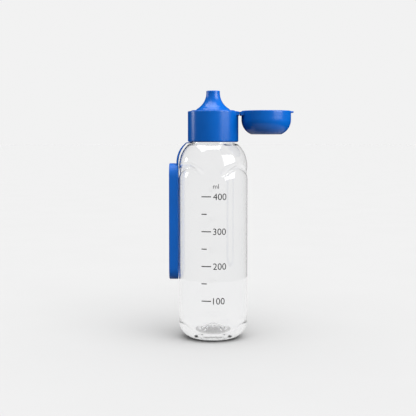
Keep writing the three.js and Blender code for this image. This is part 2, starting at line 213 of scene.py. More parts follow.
def turned(name, outline, sides=SIDES, warp=None, centre_x=0.0, sharp=35):
    """A closed outline turned about Z. warp(r, angle, z) can move each point; angle 0 is the front."""
    bm = bmesh.new()
    rings = []
    for r, z in outline:
        if r < ON_AXIS:
            spot = (0, 0, z) if warp is None else (0, 0, warp(0, 0, z)[1])
            rings.append([bm.verts.new(spot)] * sides)
            continue
        ring = []
        for k in range(sides):
            angle = 2 * math.pi * k / sides
            radius, height = (r, z) if warp is None else warp(r, angle, z)
            ring.append(bm.verts.new((radius * math.sin(angle), -radius * math.cos(angle), height)))
        rings.append(ring)
    count = len(rings)
    open_ended = outline[0][0] < ON_AXIS and outline[-1][0] < ON_AXIS
    for i in range(count - 1 if open_ended else count):
        low, high = rings[i], rings[(i + 1) % count]
        for k in range(sides):
            n = (k + 1) % sides
            corners = dict.fromkeys((low[k], low[n], high[n], high[k]))
            if len(corners) > 2:
                bm.faces.new(corners)
    face_out(bm)
    bmesh.ops.translate(bm, verts=bm.verts, vec=(centre_x, 0, 0))
    return as_object(name, bm, sharp)


def lofted(name, sections, closed=False, sharp=35):
    """A skin over sections that have the same even number of points, capped at its ends unless closed.

    A cap is a ladder of faces between the section's two halves, so that it stays flat when it bends.
    """
    bm = bmesh.new()
    rows = [[bm.verts.new(p) for p in section] for section in sections]
    size = len(rows[0])
    for i in range(len(rows) if closed else len(rows) - 1):
        a, b = rows[i], rows[(i + 1) % len(rows)]
        for k in range(size):
            n = (k + 1) % size
            bm.faces.new((a[k], a[n], b[n], b[k]))
    if not closed:
        for end in (rows[0], rows[-1][::-1]):
            for k in range(size // 2 - 1):
                bm.faces.new((end[k], end[k + 1], end[size - 2 - k], end[size - 1 - k]))
    face_out(bm)
    return as_object(name, bm, sharp)


def section(half_u, half_v, corner, steps=4):
    """(u, v) points round a rectangle with rounded corners."""
    centres = [(half_u - corner, half_v - corner, 0), (corner - half_u, half_v - corner, 90)]
    centres += [(corner - half_u, corner - half_v, 180), (half_u - corner, corner - half_v, 270)]
    points = []
    for u, v, start in centres:
        points += arc(u, v, corner, start, start + 90, steps)
    return points


# ---- materials ----
def new_material(name):
    material = bpy.data.materials.new(name)
    material.use_nodes = True
    nodes = material.node_tree.nodes
    return material, nodes, material.node_tree.links, nodes["Principled BSDF"]


def node(nodes, kind, **values):
    made = nodes.new(kind)
    for key, value in values.items():
        if key in made.inputs:
            made.inputs[key].default_value = value
        else:
            setattr(made, key, value)
    return made


def noise(nodes, links, scale, detail=2.0, stretch=(1, 1, 1)):
    """Noise in the object's own coordinates; scale is in cycles per metre."""
    coordinates = node(nodes, "ShaderNodeTexCoord")
    mapping = node(nodes, "ShaderNodeMapping", Scale=stretch)
    pattern = node(nodes, "ShaderNodeTexNoise", Scale=scale, Detail=detail)
    links.new(coordinates.outputs["Object"], mapping.inputs["Vector"])
    links.new(mapping.outputs["Vector"], pattern.inputs["Vector"])
    return pattern.outputs["Fac"]


def ramp(nodes, links, factor, low, high, low_at=0.3, high_at=0.7):
    made = node(nodes, "ShaderNodeValToRGB")
    made.color_ramp.elements[0].position = low_at
    made.color_ramp.elements[0].color = low
    made.color_ramp.elements[1].position = high_at
    made.color_ramp.elements[1].color = high
    links.new(factor, made.inputs["Fac"])
    return made.outputs["Color"]


def bump(nodes, links, height, strength, distance, below=None):
    made = node(nodes, "ShaderNodeBump", Strength=strength, Distance=distance)
    links.new(height, made.inputs["Height"])
    if below is not None:
        links.new(below, made.inputs["Normal"])
    return made.outputs["Normal"]


def grey(value):
    return (value, value, value, 1)


def clear_plastic():
    """Clear polished bottle plastic with the faint flow waves of blow moulding."""
    material, nodes, links, shader = new_material("clear_shell")
    shader.inputs["Transmission Weight"].default_value = 1.0
    shader.inputs["IOR"].default_value = 1.54
    tint = ramp(nodes, links, noise(nodes, links, 30), (0.975, 0.977, 0.98, 1), (0.99, 0.99, 0.992, 1))
    links.new(tint, shader.inputs["Base Color"])
    shader.inputs["Roughness"].default_value = 0.0
    waves = noise(nodes, links, 40, 1.0, (1, 1, 0.35))
    links.new(bump(nodes, links, waves, 0.02, 0.5 * MM), shader.inputs["Normal"])
    return material


def blue_plastic(name, dark, light, roughness):
    """Moulded blue plastic: a fine spark-eroded texture and a slight flow variation in colour."""
    material, nodes, links, shader = new_material(name)
    links.new(ramp(nodes, links, noise(nodes, links, 45), dark, light), shader.inputs["Base Color"])
    low, high = grey(roughness - 0.012), grey(roughness + 0.015)
    links.new(ramp(nodes, links, noise(nodes, links, 80, 1.0), low, high), shader.inputs["Roughness"])
    waves = bump(nodes, links, noise(nodes, links, 60, 1.0), 0.04, 0.3 * MM)
    grain = noise(nodes, links, 1200, 1.0)
    links.new(bump(nodes, links, grain, 0.03, 0.02 * MM, waves), shader.inputs["Normal"])
    shader.inputs["IOR"].default_value = 1.49
    shader.inputs["Specular IOR Level"].default_value = 0.35
    return material


def silicone(name, dark, light, roughness, clear=0.0):
    """Satin silicone: soft sheen, a fine skin grain and dust-like mottling."""
    material, nodes, links, shader = new_material(name)
    links.new(ramp(nodes, links, noise(nodes, links, 60, 4.0), dark, light), shader.inputs["Base Color"])
    low, high = grey(roughness - 0.05), grey(roughness + 0.06)
    links.new(ramp(nodes, links, noise(nodes, links, 700, 3.0), low, high), shader.inputs["Roughness"])
    skin = noise(nodes, links, 2000, 3.0)
    links.new(bump(nodes, links, skin, 0.08, 0.015 * MM), shader.inputs["Normal"])
    shader.inputs["Sheen Weight"].default_value = 0.02
    shader.inputs["Specular IOR Level"].default_value = 0.3
    shader.inputs["Sheen Roughness"].default_value = 0.5
    shader.inputs["Transmission Weight"].default_value = clear
    shader.inputs["IOR"].default_value = 1.41
    return material


def ink():
    """Black screen-printing ink with tiny pinholes."""
    material, nodes, links, shader = new_material("scale_ink")
    colour = ramp(nodes, links, noise(nodes, links, 3000, 2.0), grey(0.003), grey(0.008))
    links.new(colour, shader.inputs["Base Color"])
    links.new(ramp(nodes, links, noise(nodes, links, 900), grey(0.4), grey(0.55)), shader.inputs["Roughness"])
    shader.inputs["Specular IOR Level"].default_value = 0.3
    return material


CLEAR = clear_plastic()
BLUE = blue_plastic("blue_plastic", (0.0003, 0.086, 0.385, 1), (0.0008, 0.096, 0.42, 1), 0.25)
STRAP_BLUE = silicone("blue_silicone", (0.0008, 0.09, 0.4, 1), (0.0015, 0.098, 0.43, 1), 0.45)
SEAL = silicone("clear_silicone", (0.72, 0.75, 0.77, 1), (0.82, 0.84, 0.85, 1), 0.35, 0.35)
INK = ink()


def finish_piece(obj, material, body, slot, *nodes):
    """Gives a piece its material, puts it on its body and lets it stand for its CAD nodes."""
    obj.data.materials.clear()
    obj.data.materials.append(material)
    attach(obj, body)
    if nodes:
        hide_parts(*nodes)
    return obj


# ---- bottle ----
def crease_wave(angle):
    """How far the crease's line rises and falls round the bottle."""
    return -CREASE_FOUR * math.cos(4 * angle) - CREASE_TWO * math.cos(2 * angle)


def thread_height(angle, z, start_z):
    """How far a screw ridge stands out at this place, from 0 to 1."""
    best = 0.0
    for lap in range(-1, 3):
        turn = angle / (2 * math.pi) + lap
        if not 0 <= turn <= THREAD_TURNS:
            continue
        off = abs(z - (start_z + PITCH * turn))
        ends = min(1.0, turn / THREAD_RUN_IN, (THREAD_TURNS - turn) / THREAD_RUN_IN)
        best = max(best, smooth((THREAD_HALF - off) / THREAD_FLANK) * ends)
    return best


def base_relief(r, angle):
    """Moulded rings and radial flutes in the hollow under the base."""
    ring_deep, ring_pitch = 0.35 * MM, 3.1 * MM
    flute_deep, flute_count = 0.4 * MM, 10
    plain_r, plain_rim = 3 * MM, 1 * MM  # no relief in the middle, nor next to the foot ring
    flute_fade, rim_fade = 4 * MM, 2 * MM
    rings = ring_deep * math.cos(2 * math.pi * r / ring_pitch)
    flutes = flute_deep * math.cos(flute_count * angle) * smooth((r - plain_r) / flute_fade)
    return (rings + flutes) * smooth((FOOT_IN_R - plain_rim - r) / rim_fade) * smooth(r / plain_r)


def push_up(r):
    """Height of the underside of the base at this radius."""
    t = 1 - r / FOOT_IN_R
    return PUSH_UP * math.sin(t * math.pi / 2) ** PUSH_UP_POWER


def wall_outline(inset):
    """The wall from below the crease up to the shoulder, this far inside its face and without the crease."""
    low, high = CREASE_Z - WALL_FINE, DOME_CENTRE_Z
    steps, dome_steps = 44, 30
    dome = arc(DOME_CENTRE_R, DOME_CENTRE_Z, DOME_R - inset, 0, DOME_END, dome_steps)
    narrow = BODY_R - inset - dome[0][0]
    wall = []
    for k in range(steps):
        t = k / steps
        wall.append((BODY_R - inset - narrow * smooth(2 * t - 1), low + (high - low) * t))
    return wall + dome


def bottle_outline():
    """The outside from the middle of the base to the rim, and the inside back down."""
    base_steps, floor_steps = 26, 16
    foot_out_r = BODY_R - HEEL_R
    foot_soft = 0.5 * MM
    hollow = [FOOT_IN_R * k / base_steps for k in range(base_steps)]
    outside = [(r, push_up(r)) for r in hollow]
    outside += [(FOOT_IN_R + foot_soft, 0), (foot_out_r - foot_soft, 0)]
    outside += arc(foot_out_r, HEEL_R, HEEL_R, -86, 0, 28) + wall_outline(0)
    outside += [(23.6 * MM, 183.5 * MM), (22.6 * MM, 184.05 * MM), (21.4 * MM, 184.4 * MM)]
    bead_r = 21.5 * MM
    outside += rounded([
        (21.0 * MM, SHOULDER_Z, 0),
        (NECK_R, SHOULDER_Z, 0.3 * MM),
        (NECK_R, 187.1 * MM, 0.2 * MM),
        (bead_r, 187.7 * MM, 0.3 * MM),
        (bead_r, 188.5 * MM, 0.3 * MM),
        (NECK_R, 189.5 * MM, 0.3 * MM),
        (NECK_R, NECK_TOP, 0.6 * MM),
        (NECK_BORE_R, NECK_TOP, 0.6 * MM),
        (NECK_BORE_R, SHOULDER_Z - 1.4 * MM, 1.2 * MM),
        (21.4 * MM, SHOULDER_Z - 1.7 * MM, 0),
    ])[1:-1]
    inner_heel = HEEL_R - WALL
    inside = wall_outline(WALL)[::-1]
    floor_r = BODY_R - WALL - inner_heel
    inside += arc(floor_r, BASE_THICK + inner_heel, inner_heel, 0, -88, 24)
    inside_floor = [floor_r * k / floor_steps for k in range(floor_steps - 1, -1, -1)]
    inside += [(r, inner_floor(r, floor_r)) for r in inside_floor]
    return outside, inside


def inner_floor(r, floor_r):
    """Height of the inside floor at this radius."""
    return BASE_THICK + PUSH_UP * smooth(1 - r / floor_r)


def groove(angle, above):
    """Depth of the crease at a height above its line: a round lip below, a short flank above."""
    deep = CREASE_DEEP + CREASE_DEEP_FOUR * math.cos(4 * angle) + CREASE_DEEP_TWO * math.cos(2 * angle)
    if above > 0:
        return deep * (1 - smooth(above / CREASE_ABOVE)) if above < CREASE_ABOVE else 0
    lip = math.sqrt(CREASE_LIP_R ** 2 - (CREASE_LIP_R - deep) ** 2)
    up = max(0, above + lip)
    return CREASE_LIP_R - math.sqrt(CREASE_LIP_R ** 2 - up ** 2)


def soft_groove(angle, above):
    """The crease's depth, averaged over a short height so that its edges are soft."""
    return sum(groove(angle, above + CREASE_SOFT * k) for k in (-1, -0.5, 0, 0.5, 1)) / 5


def on_neck_outside(r):
    return r > NECK_R - 0.1 * MM


def warp_bottle(r, angle, z):
    """Waves the crease, cuts it in, and adds the relief under the base and the neck's thread."""
    near = 0.01 * MM
    above = z - CREASE_Z
    reach = min(1.0, abs(above) / CREASE_REACH)
    height = z + (1 - reach * reach) ** 2 * crease_wave(angle)
    if r < FOOT_IN_R and abs(z - push_up(r)) < near:
        height += base_relief(r, angle)
    if z > THREAD_FROM_Z and on_neck_outside(r):
        r += THREAD_HIGH * thread_height(angle % (2 * math.pi), z, THREAD_Z)
    if reach < 1:
        r -= soft_groove(angle, above)
    return r, height


def bottle_shell():
    """The clear bottle, its outline cut finely where the thread is."""
    longest, thread_step = 3 * MM, 0.3 * MM
    outside, inside = bottle_outline()
    outline = spaced(outside + inside, longest, closed=False)
    fine = []
    for (r0, z0), (r1, z1) in zip(outline, outline[1:]):
        fine.append((r0, z0))
        if THREAD_FROM_Z < z0 < z1 and on_neck_outside(r0):
            cuts = math.ceil((z1 - z0) / thread_step)
            fine += [(r0, z0 + (z1 - z0) * k / cuts) for k in range(1, cuts)]
    fine.append(outline[-1])
    shell = turned("bottle_shell", fine, FINE_SIDES, warp_bottle, sharp=50)
    return finish_piece(shell, CLEAR, "bottle", "clear_shell", "bottle_body")


SHELL = bottle_shell()


# ---- printed scale ----
SCALE_STEP_ML = 100
SCALE_FIRST_Z = 39.7 * MM
SCALE_STEP_Z = 32.07 * MM
SCALE_STEPS = 3
LONG_LINE, SHORT_LINE = 9 * MM, 5 * MM
LINE_THICK = 0.9 * MM
LINES_X = -11 * MM  # where every line starts, going round to the right
NUMBERS_X = LINES_X + LONG_LINE + 1.8 * MM
NUMBER_HIGH = 6 * MM
UNIT_HIGH = 4.2 * MM
UNIT_ABOVE = 1.6 * NUMBER_HIGH
INK_THICK = 0.04 * MM
INK_LIFT = 0.02 * MM  # from the wall to the ink's back
STRIP_WIDE = 0.7 * MM  # flat shapes are cut into strips of this width to go round the wall


def text_mesh(words, height):
    """Flat lettering of this height as a thin mesh, with its left end at x = 0 and its middle at y = 0."""
    curve = bpy.data.curves.new("lettering", "FONT")
    curve.body = words
    curve.resolution_u = 6
    curve.extrude = 0.02  # any depth will do, because the ink's own replaces it below
    obj = bpy.data.objects.new("lettering", curve)
    bpy.context.scene.collection.objects.link(obj)
    bpy.context.view_layer.update()
    mesh = bpy.data.meshes.new_from_object(obj.evaluated_get(bpy.context.evaluated_depsgraph_get()))
    bpy.data.objects.remove(obj)
    bpy.data.curves.remove(curve)
    bm = bmesh.new()
    bm.from_mesh(mesh)
    bpy.data.meshes.remove(mesh)
    left = min(v.co.x for v in bm.verts)
    low, high = min(v.co.y for v in bm.verts), max(v.co.y for v in bm.verts)
    scale = height / (high - low)
    for v in bm.verts:
        depth = INK_THICK if v.co.z > 0 else 0
        v.co = Vector(((v.co.x - left) * scale, (v.co.y - (low + high) / 2) * scale, depth))
    return bm


def line_mesh(length):
    """A flat line as a thin mesh, with its left end at x = 0."""
    bm = bmesh.new()
    bmesh.ops.create_cube(bm, size=1.0)
    for v in bm.verts:
        v.co = Vector(((v.co.x + 0.5) * length, v.co.y * LINE_THICK, INK_THICK * (0.5 + v.co.z)))
    return bm


def wrap_on_wall(bm, x, z):
    """Cuts a flat upright shape into narrow strips and bends it round the front of the wall."""
    left, right = min(v.co.x for v in bm.verts), max(v.co.x for v in bm.verts)
    cuts = math.ceil((right - left) / STRIP_WIDE)
    for k in range(1, cuts):
        cut = left + (right - left) * k / cuts
        everything = bm.verts[:] + bm.edges[:] + bm.faces[:]
        bmesh.ops.bisect_plane(bm, geom=everything, plane_co=(cut, 0, 0), plane_no=(1, 0, 0))
    for v in bm.verts:
        angle = (x + v.co.x) / BODY_R
        radius = BODY_R + INK_LIFT + v.co.z
        v.co = Vector((radius * math.sin(angle), -radius * math.cos(angle), z + v.co.y))


def printed_scale():
    """A volume scale: a long line and its number every 100 ml, and a short line half-way between."""
    pieces = []
    for k in range(2 * SCALE_STEPS + 1):
        z = SCALE_FIRST_Z + SCALE_STEP_Z * k / 2
        whole_step = k % 2 == 0
        pieces.append((line_mesh(LONG_LINE if whole_step else SHORT_LINE), LINES_X, z))
        if whole_step:
            number = str(SCALE_STEP_ML * (1 + k // 2))
            pieces.append((text_mesh(number, NUMBER_HIGH), NUMBERS_X, z))
    top = SCALE_FIRST_Z + SCALE_STEP_Z * SCALE_STEPS
    pieces.append((text_mesh("ml", UNIT_HIGH), NUMBERS_X, top + UNIT_ABOVE))
    whole = bmesh.new()
    for bm, x, z in pieces:
        wrap_on_wall(bm, x, z)
        mesh = bpy.data.meshes.new("part")
        bm.to_mesh(mesh)
        bm.free()
        whole.from_mesh(mesh)
        bpy.data.meshes.remove(mesh)
    same_spot = 0.001 * MM
    bmesh.ops.remove_doubles(whole, verts=whole.verts, dist=same_spot)
    scale = as_object("printed_scale", whole)
    return finish_piece(scale, INK, "bottle", "blue_plastic")


printed_scale()


# ---- screw cap ----
def screw_cap():
    """The cap: a skirt with an inside thread, a ceiling with a hole and a seat for the spout's disc."""
    bore_r, hole_r = 22.4 * MM, 16.6 * MM
    ridge_deep, ridges_end = 1.8 * MM, 205 * MM
    low, top = CAP[0].z, 214.9 * MM
    ceiling, seat = 211.9 * MM, 213.6 * MM
    outline = rounded([
        (bore_r, low, 0.2 * MM),
        (CAP_R - 0.9 * MM, low, 0.3 * MM),
        (CAP_R, low + 0.9 * MM, 0.8 * MM),
        (CAP_R, top - 0.05 * MM, 0.55 * MM),
        (CAP_R - 1.2 * MM, top + 0.1 * MM, 0.8 * MM),
        (20.95 * MM, top + 0.15 * MM, 0.15 * MM),
        (20.9 * MM, seat, 0.1 * MM),
        (hole_r, seat, 0.15 * MM),
        (hole_r, ceiling, 0.15 * MM),
        (bore_r, ceiling, 0.6 * MM),
    ])

    def warp(r, angle, z):
        inside = abs(r - bore_r) < 0.01 * MM and z < ridges_end
        if inside:
            r -= ridge_deep * thread_height(angle % (2 * math.pi), z, THREAD_Z - PITCH / 2)
        return r, z

    cap = turned("cap_shell", spaced(outline, 0.45 * MM), SIDES, warp)
    return finish_piece(cap, BLUE, "cap", "blue_plastic", "screw_cap")


def spout():
    """The drinking spout: a flared tip with a bore, on a disc whose collar holds the valve."""
    tip_r, wall, flare_r, flare_z = 6.4 * MM, 2.2 * MM, 17.5 * MM, 232.5 * MM
    centre_r = tip_r + flare_r
    bore_r = tip_r - wall
    disc_r, disc_low, disc_top = SPOUT[1].x, 213.9 * MM, 215.8 * MM
    collar_in, collar_out = 13.2 * MM, 16.2 * MM
    tip = rounded([
        (tip_r, flare_z, 0),
        (tip_r, SPOUT_TOP, 0.9 * MM),
        (bore_r, SPOUT_TOP, 0.7 * MM),
        (bore_r, flare_z, 0),
    ], 6)[1:-1]
    foot = rounded([
        (10.6 * MM, disc_low, 0.2 * MM),
        (collar_in, disc_low, 0.1 * MM),
        (collar_in, SPOUT[0].z, 0.4 * MM),
        (collar_out, SPOUT[0].z, 0.6 * MM),
        (collar_out, disc_low, 0.1 * MM),
        (disc_r, disc_low, 0.15 * MM),
        (disc_r, disc_top, 0.6 * MM),
        (17.4 * MM, disc_top + 0.02 * MM, 0.5 * MM),
        (15.9 * MM, disc_top + 0.4 * MM, 0.5 * MM),
        (15.4 * MM, 217.2 * MM, 0),
    ])
    outline = foot[:-1] + arc(centre_r, flare_z, flare_r, 241, 180, 30) + tip
    outline += arc(centre_r, flare_z, flare_r + wall, 180, 229, 22)
    made = turned("spout_body", spaced(outline, 1.2 * MM), SIDES)
    return finish_piece(made, BLUE, "cap", "blue_plastic", "spout")


def valve():
    """The soft valve: a domed disc whose middle is cut crosswise into four lips."""
    slit_wide, slit_deep, slit_reach = 0.35 * MM, 0.35 * MM, 5 * MM
    end_fade, middle_fade = 1 * MM, 0.5 * MM
    top = VALVE[0].z + 1.2 * MM
    lips_z = top + 2 * MM  # only the lips' upper face is above this
    flange_r = VALVE[1].x
    outline = rounded([
        (0, top + 1.9 * MM, 0),
        (4.7 * MM, top + 1.25 * MM, 2 * MM),
        (9.4 * MM, top - 1.2 * MM, 0.6 * MM),
        (flange_r, top - 1.2 * MM, 0.3 * MM),
        (flange_r, top, 0.3 * MM),
        (10 * MM, top, 0.6 * MM),
        (5.2 * MM, top + 2.35 * MM, 2 * MM),
        (0, top + 3 * MM, 0),
    ])

    def warp(r, angle, z):
        nearest = abs((angle + math.pi / 4) % (math.pi / 2) - math.pi / 4)
        across = smooth(1 - r * nearest / slit_wide)
        slit = across * smooth((slit_reach - r) / end_fade) * smooth(r / middle_fade)
        return r, z - slit_deep * slit * (1 if z > lips_z else 0)

    made = turned("valve_lips", spaced(outline, 0.5 * MM, closed=False), SIDES, warp)
    return finish_piece(made, SEAL, "cap", "clear_silicone", "spout_valve")


def plain_ring(name, box, bore_r, corner, material, body, slot, node_name):
    """A ring of rectangular section with rounded corners, as tall and wide as its CAD node."""
    outline = rounded([
        (bore_r, box[0].z, corner),
        (box[1].y, box[0].z, corner),
        (box[1].y, box[1].z, corner),
        (bore_r, box[1].z, corner),
    ])
    made = turned(name, spaced(outline, 0.8 * MM), SIDES)
    return finish_piece(made, material, body, slot, node_name)


CAP_SIDE = [screw_cap(), spout()]
valve()
plain_ring("retainer_ring", RETAINER, 10.2 * MM, 0.4 * MM, BLUE, "cap", "blue_plastic", "valve_retainer")
CAP_SIDE.append(
    plain_ring("gasket_ring", GASKET, 17.2 * MM, 0.5 * MM, SEAL, "gasket", "clear_silicone", "cap_gasket")
)


# ---- cover ----
def cover():
    """The cover's cup, which opens upwards at rest."""
    round_r, round_z = 14.8 * MM, 207 * MM
    wall = 1.5 * MM
    low, rim = COVER[0].z, COVER[1].z
    centre_r = COVER_R - round_r
    outside_turn = math.degrees(math.asin((round_z - low) / round_r))
    inside_turn = math.degrees(math.asin((round_z - low - wall) / (round_r - wall)))
    edge = rounded([
        (COVER_R, round_z, 0),
        (COVER_R, rim, 0.6 * MM),
        (COVER_R - wall, rim, 0.5 * MM),
        (COVER_R - wall, round_z, 0),
    ])[1:-1]
    outline = [(0, low)] + arc(centre_r, round_z, round_r, -outside_turn, 0, 26)
    outline += edge + arc(centre_r, round_z, round_r - wall, 0, -inside_turn, 20) + [(0, low + wall)]
    made = turned("cover_shell", spaced(outline, 1.2 * MM, closed=False), SIDES, centre_x=COVER_X, sharp=25)
    return finish_piece(made, BLUE, "cover", "blue_plastic", "flip_cover")


def thumb_tab():
    """The lip opposite the hinge that a thumb lifts the cover by."""
    low, high = COVER[1].z - 1.9 * MM, COVER[1].z - 0.4 * MM
    reach = COVER[1].x - COVER_X
    half = 7 * MM
    start, side_out = COVER_R - 1.3 * MM, COVER_R - 0.9 * MM
    sections = []
    steps = 24
    for i in range(steps + 1):
        y = half * (2 * i / steps - 1)
        out = side_out + (reach - side_out) * smooth(1.25 * (1 - abs(y) / half))
        edge = rounded([
            (start, low, 0),
            (out, low, 0.6 * MM),
            (out, high, 0.45 * MM),
            (start, high, 0),
        ])
        sections.append([(COVER_X + r, y, z) for r, z in edge])
    made = lofted("cover_thumb_tab", sections)
    return finish_piece(made, BLUE, "cover", "blue_plastic")


def plug():
    """The soft pad and pin in the cover that shut the spout's bore."""
    base, top = PLUG[0].z, PLUG[1].z
    outline = rounded([
        (0, base - 0.3 * MM, 0),
        (PLUG[1].y, base - 0.3 * MM, 0.1 * MM),
        (PLUG[1].y, base + 0.5 * MM, 0.3 * MM),
        (2.5 * MM, base + 0.6 * MM, 0.5 * MM),
        (1.6 * MM, top, 0.6 * MM),
        (0, top, 0),
    ])
    made = turned("plug_pad", spaced(outline, 0.4 * MM, closed=False), PLUG_SIDES, centre_x=COVER_X)
    return finish_piece(made, SEAL, "cover", "clear_silicone", "cover_plug")


def hinge_strip():
    """The strip between cap and cover: two thick lips and, between them, a thin web that bends."""
    top, bottom = STRIP[1].z, STRIP[0].z
    half = STRIP[1].y
    across, along = 60, 24
    sink = 0.4 * MM  # into the cap and the cover
    web_half, web_flank = 0.5 * MM, 0.15 * MM
    cut_above, cut_below = 0.35 * MM, 2.6 * MM
    edge_round, edge_wide = 0.35 * MM, 1 * MM
    sections = []
    for i in range(along + 1):
        s = 2 * i / along - 1
        y = half * math.copysign(1 - (1 - abs(s)) ** 1.3, s)
        edge = edge_round * smooth((abs(y) - half + edge_wide) / edge_wide) ** 2
        start = math.sqrt(CAP_R ** 2 - y * y) - sink
        end = COVER_X - math.sqrt(COVER_R ** 2 - y * y) + sink
        upper, lower = [], []
        for k in range(across + 1):
            x = start + (end - start) * k / across
            thin = smooth((web_half - abs(x - HINGE_X)) / web_flank)
            upper.append((x, y, top - edge - cut_above * thin))
            lower.append((x, y, bottom + edge + cut_below * thin))
        sections.append(upper + lower[::-1])
    strip = lofted("hinge_strip", sections)
    strip.data.materials.append(BLUE)
    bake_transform(strip)
    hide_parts("hinge_strip_cap_half", "hinge_strip_cover_half")


cover()
thumb_tab()
plug()
hinge_strip()


# ---- hand strap ----
TETHER_HALF = TETHER[1].y


def neck_ring():
    """A thin ring inside the cap's skirt; below the tether it reaches down under the cap's edge."""
    bore_r, low, corner = 20.4 * MM, 185.9 * MM, 0.3 * MM
    outline = rounded([
        (bore_r, low, corner),
        (RING[1].y, low, corner),
        (RING[1].y, RING[1].z, corner),
        (bore_r, RING[1].z, corner),
    ])

    def warp(r, angle, z):
        aside = abs(r * math.cos(angle)) - TETHER_HALF
        foot = smooth(1 - aside / (1.5 * MM)) if math.sin(angle) < 0 else 0
        return r, z - (low - RING[0].z) * foot * (1 if z < low + corner else 0)

    ring = turned("neck_ring", spaced(outline, 0.5 * MM), FINE_SIDES, warp)
    return finish_piece(ring, STRAP_BLUE, "strap_ring", "blue_silicone", "strap_neck_ring")


def bezier(a, b, c, d, t):
    """A point on the cubic curve from a to d."""
    s = 1 - t
    return a * s ** 3 + b * 3 * s * s * t + c * 3 * s * t * t + d * t ** 3


def tether_edges(t):
    """Outer and inner edge of the tether, t from 0 at the neck ring's tab to 1 at the loop."""
    start = Vector((TETHER[1].x, 0, TETHER[1].z))
    end = Vector((TETHER[0].x, 0, TETHER[0].z))
    thick = Vector((1.7 * MM, 0, 0))
    thin = Vector((0, 0, 0.95 * MM))
    first = start + Vector((-4.7, 0, -3.525)) * MM
    outer = bezier(start, first, end + Vector((0, 0, 10)) * MM, end, t)
    inner = bezier(
        start - thin,
        first + Vector((1, 0, -1)) * MM,
        end + thick + Vector((0, 0, 9)) * MM,
        end + thick,
        t,
    )
    return outer, inner


def tether_section(outer, inner, half):
    """A rounded section across the tether, from its outer edge to its inner one."""
    middle = (outer + inner) / 2
    side = outer - inner
    thick = side.length / 2
    side.normalize()
    corner = min(0.45 * MM, thick * 0.85)
    return [middle + side * u + Vector((0, v, 0)) for u, v in section(thick, half, corner)]


def tether_piece(name, first, last, steps):
    """A stretch of the tether. first and last run from -1, inside the ring, to 2, inside the loop."""
    into_ring, into_loop = 3.4 * MM, 1.6 * MM
    sections = []
    for i in range(steps + 1):
        t = first + (last - first) * i / steps
        outer, inner = tether_edges(min(1.0, max(0.0, t)))
        if t < 0:
            outer, inner = [p + Vector((-t * into_ring, 0, 0)) for p in (outer, inner)]
        if t > 1:
            drop = Vector((0, 0, -(t - 1) * into_loop))
            outer, inner = outer + drop, inner + drop
        sections.append(tether_section(outer, inner, TETHER_HALF))
    made = lofted(name, sections)
    made.data.materials.append(STRAP_BLUE)
    return made


def tether():
    """The tether in two pieces, because each piece bends across one joint."""
    steps = 60
    upper = tether_piece("tether_upper", -1, 0.5, steps)
    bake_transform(upper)
    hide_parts("strap_tether")
    lower = tether_piece("tether_lower", 0.5, 2, steps)
    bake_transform(lower)
    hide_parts("strap_tether")
    return [upper, lower]


def hand_loop():
    """A flat band bent into a long loop with round ends."""
    thick = 3 * MM
    half = LOOP[1].y
    low, high = LOOP[0].z + half, LOOP[1].z - half
    middle_x = (LOOP[0].x + LOOP[1].x) / 2
    half_x = (LOOP[1].x - LOOP[0].x) / 2
    middle_r = half - thick / 2
    profile = section(half_x, thick / 2, 0.8 * MM)
    spots = []
    steps, straight = 28, 10
    for centre, start in ((high, 0), (low, 180)):
        for k in range(steps + 1):
            angle = math.radians(start + 180 * k / steps)
            spots.append((Vector((0, 0, centre)), Vector((0, math.cos(angle), math.sin(angle)))))
        away = Vector((0, math.cos(math.radians(start + 180)), 0))
        other = low if centre == high else high
        for k in range(1, straight):
            spots.append((Vector((0, 0, centre + (other - centre) * k / straight)), away))
    sections = []
    for centre, out in spots:
        spot = centre + out * middle_r + Vector((middle_x, 0, 0))
        sections.append([spot + Vector((u, 0, 0)) + out * v for u, v in profile])
    made = lofted("hand_loop_band", sections, closed=True)
    return finish_piece(made, STRAP_BLUE, "hand_loop", "blue_silicone", "strap_hand_loop")


CAP_SIDE.append(neck_ring())
STRAP = tether() + [hand_loop()]
for piece in CAP_SIDE:  # their unlit undersides don't darken the clear shoulder
    piece.visible_transmission = False


# ---- floor, light and camera ----
STUDIO = 0.887
FILL_HIGH, FILL_LOW = 0.85, 0.25
FLOOR_PALE, NEAR_PALE = 0.608, 0.75
SUN_STRENGTH = 2.2
GROUND_R, NEAR_R, UNDER_R = 60, 0.4, 18 * MM
NEAR_DROP, UNDER_LIFT = 0.2 * MM, 0.02 * MM  # the smaller discs lie just below and just above the floor
UNDER_GLOW = 0.55
FILL_RISE = 0.12  # the fill is at its full strength from this height of direction up
LAMP_AWAY = 1.2
LAMP_AIM_Z = 0.16
EDGE_LAMPS = 6
BOUNCES = 32
LENS = 78.41  # millimetres, on a sensor 36 mm wide
CAMERA_SIDE, CAMERA_BACK = -4.82 * MM, 859 * MM
CAMERA_DOWN = 2.855  # degrees below level
CAMERA_SHIFT = -0.05


def floor_disc(name, radius, height):
    bm = bmesh.new()
    bmesh.ops.create_circle(bm, cap_ends=True, segments=96, radius=radius)
    bmesh.ops.translate(bm, verts=bm.verts, vec=(0, 0, height))
    disc = as_object(name, bm)
    return disc


def floor_material(name, paleness, glow):
    """Matt floor with a slight mottling; glow lights it from within."""
    material, nodes, links, shader = new_material(name)
    pale = ramp(nodes, links, noise(nodes, links, 8), grey(paleness - 0.004), grey(paleness + 0.004))
    links.new(pale, shader.inputs["Base Color"])
    links.new(pale, shader.inputs["Emission Color"])
    shader.inputs["Emission Strength"].default_value = glow
    shader.inputs["Roughness"].default_value = 1.0
    shader.inputs["Specular IOR Level"].default_value = 0.0
    return material


